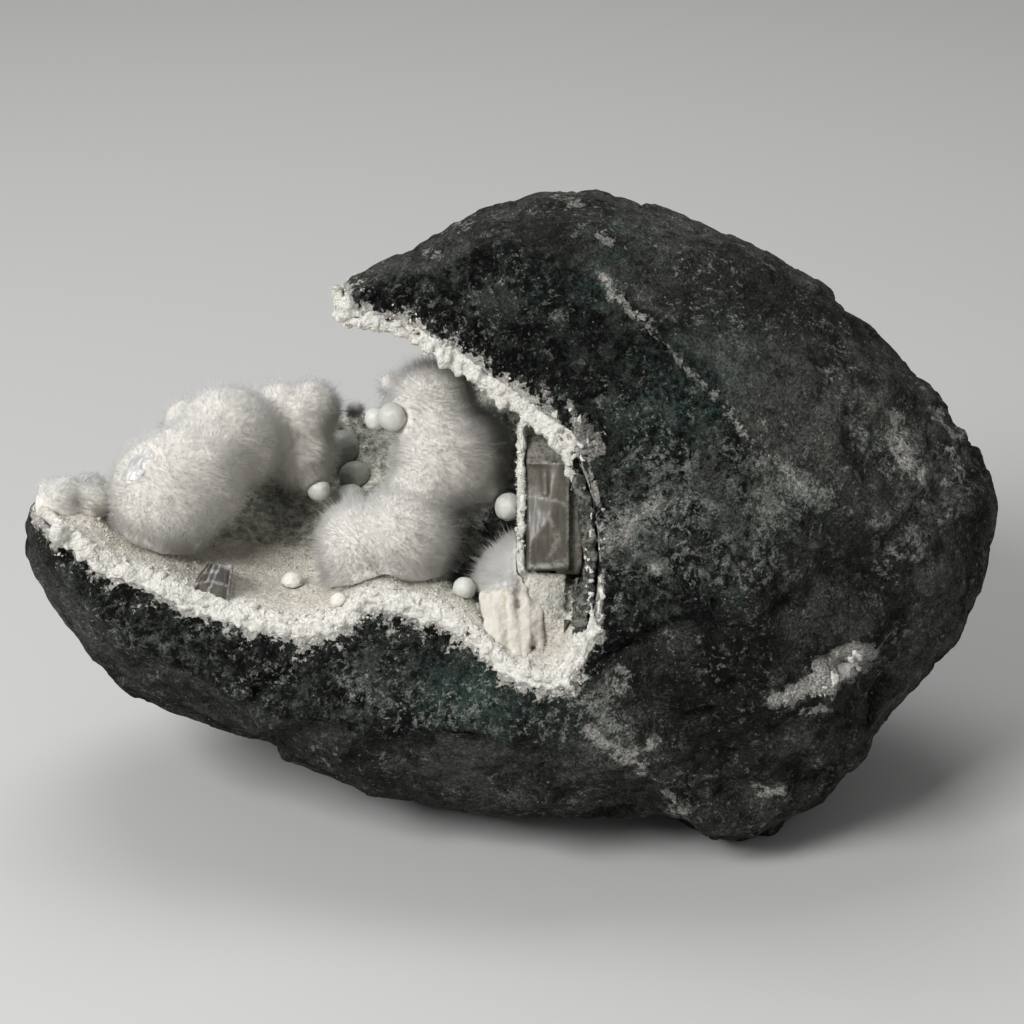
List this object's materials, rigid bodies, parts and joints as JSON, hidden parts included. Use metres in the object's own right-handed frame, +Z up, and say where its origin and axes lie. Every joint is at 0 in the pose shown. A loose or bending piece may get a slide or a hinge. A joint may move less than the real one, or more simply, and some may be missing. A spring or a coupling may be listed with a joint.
{
  "type": "okenite puffballs in a broken basalt geode",
  "caption": "Broken basalt nodule whose open hollow is lined with white sugary druse and holds furry okenite balls, gyrolite beads and clear calcite.",
  "frame": {"origin": "centre of the bounding box on the surface the nodule stands on", "axes": "+Z up, +X to the right along the longest side as seen from the open front, -Y towards that viewer"},
  "size_m": [0.1932, 0.1112, 0.1225],
  "materials": {
    "basalt": "rough broken basalt, dark grey with a green tint",
    "druse": "sparkling sugary crust",
    "okenite": "fine white fibres standing out like fur",
    "gyrolite": "smooth pearly bead",
    "calcite": "clear to smoky with cleavage lines"
  },
  "bodies": {
    "root": {"basalt_matrix": "basalt", "druse_crust": "druse", "okenite_cluster_left": "okenite", "okenite_cluster_right": "okenite", "okenite_ball_front": "okenite", "okenite_ball_back": "okenite", "okenite_broken_left": "okenite", "gyrolite_bead_1": "gyrolite", "gyrolite_bead_2": "gyrolite", "gyrolite_bead_3": "gyrolite", "gyrolite_bead_4": "gyrolite", "gyrolite_bead_5": "gyrolite", "gyrolite_bead_6": "gyrolite", "gyrolite_bead_7": "gyrolite", "gyrolite_bead_8": "gyrolite", "gyrolite_bead_9": "gyrolite", "gyrolite_bead_10": "gyrolite", "calcite_blade": "calcite", "calcite_wedge": "calcite", "calcite_splinter_1": "calcite", "calcite_splinter_2": "calcite"}
  },
  "joints": []
}
